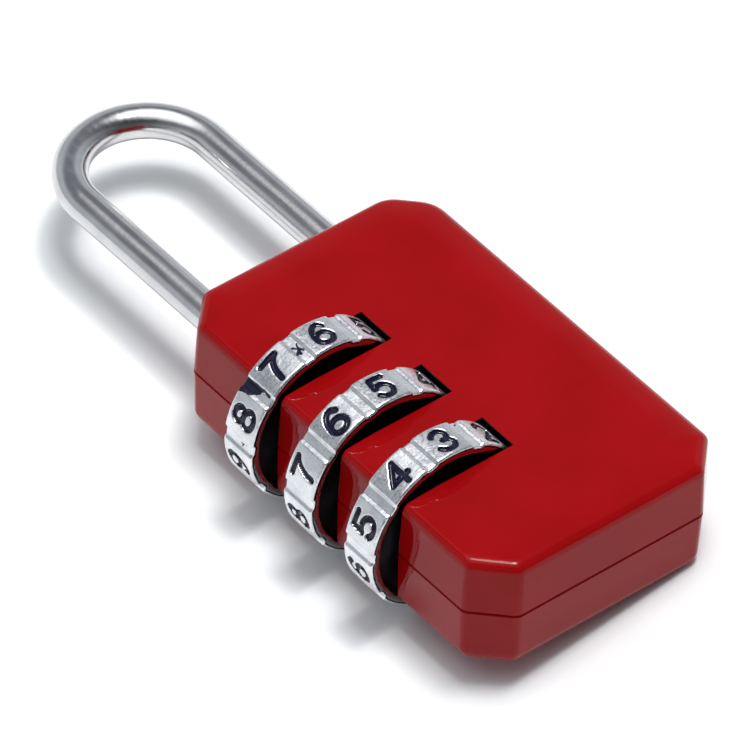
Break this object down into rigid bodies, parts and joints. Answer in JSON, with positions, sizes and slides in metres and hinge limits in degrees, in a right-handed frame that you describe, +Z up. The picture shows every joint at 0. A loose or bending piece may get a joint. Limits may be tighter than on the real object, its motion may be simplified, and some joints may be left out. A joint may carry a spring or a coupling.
{
  "type": "luggage combination padlock",
  "caption": "Small red padlock with a steel U-shackle and number dials that stand out of the case's side, with a working clutch inside.",
  "frame": {"origin": "bottom centre of the closed padlock's box, on the surface that it lies on: it rests on the three dials and on the far edge of its back", "axes": "+Y along the shackle legs toward the loop, +Z up from the surface that it lies on, -X the side that the dials stand out of. The front face leans 7.86 degrees about Y from +Z toward +X, because the dials stand out of the back too."},
  "size_m": [0.0246, 0.0576, 0.0136],
  "materials": {
    "case_paint": "gloss paint on die-cast zinc",
    "shackle_steel": "polished steel wire",
    "dial_zinc": "plated die-cast zinc, worn bright on the edges",
    "number_paint": "dark blue-black paint in the engraved numbers",
    "sleeve_brass": "machined",
    "spring_steel": "drawn spring wire and strip",
    "pin_steel": "plain"
  },
  "bodies": {
    "case": {"front_case": "case_paint", "back_case": "case_paint", "case_pins": "pin_steel", "detent_spring": "spring_steel", "clutch_spring": "spring_steel"},
    "shackle": {"shackle": "shackle_steel"},
    "dial_1": {"dial_1": "dial_zinc"},
    "dial_2": {"dial_2": "dial_zinc"},
    "dial_3": {"dial_3": "dial_zinc"},
    "sleeve_1": {"clutch_sleeve_1": "sleeve_brass"},
    "sleeve_2": {"clutch_sleeve_2": "sleeve_brass"},
    "sleeve_3": {"clutch_sleeve_3": "sleeve_brass"},
    "washer": {"thrust_washer": "spring_steel"}
  },
  "joints": [
    {"name": "shackle_lift", "type": "slide", "parent": "case", "child": "shackle", "axis": [0, 1, 0], "range_m": [0, 0.0045]},
    {"name": "dial_1_turn", "type": "hinge", "parent": "case", "child": "dial_1", "pos_m": [-0.00546, -0.0041, 0.0068], "axis": [0, 1, 0], "continuous": true, "deforming": ["detent_spring"]},
    {"name": "dial_2_turn", "type": "hinge", "parent": "case", "child": "dial_2", "pos_m": [-0.00546, -0.01075, 0.0068], "axis": [0, 1, 0], "continuous": true, "deforming": ["detent_spring"]},
    {"name": "dial_3_turn", "type": "hinge", "parent": "case", "child": "dial_3", "pos_m": [-0.00546, -0.0174, 0.0068], "axis": [0, 1, 0], "continuous": true, "deforming": ["detent_spring"]},
    {"name": "clutch_slide_1", "type": "slide", "parent": "dial_1", "child": "sleeve_1", "axis": [0, -1, 0], "range_m": [0, 0.0014], "stiffness_N_per_m": 1400, "springref_m": -0.0015},
    {"name": "clutch_slide_2", "type": "slide", "parent": "dial_2", "child": "sleeve_2", "axis": [0, -1, 0], "range_m": [0, 0.0014]},
    {"name": "clutch_slide_3", "type": "slide", "parent": "dial_3", "child": "sleeve_3", "axis": [0, -1, 0], "range_m": [0, 0.0014]},
    {"name": "washer_slide", "type": "slide", "parent": "case", "child": "washer", "axis": [0, -1, 0], "range_m": [0, 0.0014], "deforming": ["clutch_spring"]}
  ],
  "couplings": [
    {"joint": "clutch_slide_2", "follows": "clutch_slide_1", "ratio": 1},
    {"joint": "clutch_slide_3", "follows": "clutch_slide_1", "ratio": 1},
    {"joint": "washer_slide", "follows": "clutch_slide_1", "ratio": 1}
  ]
}
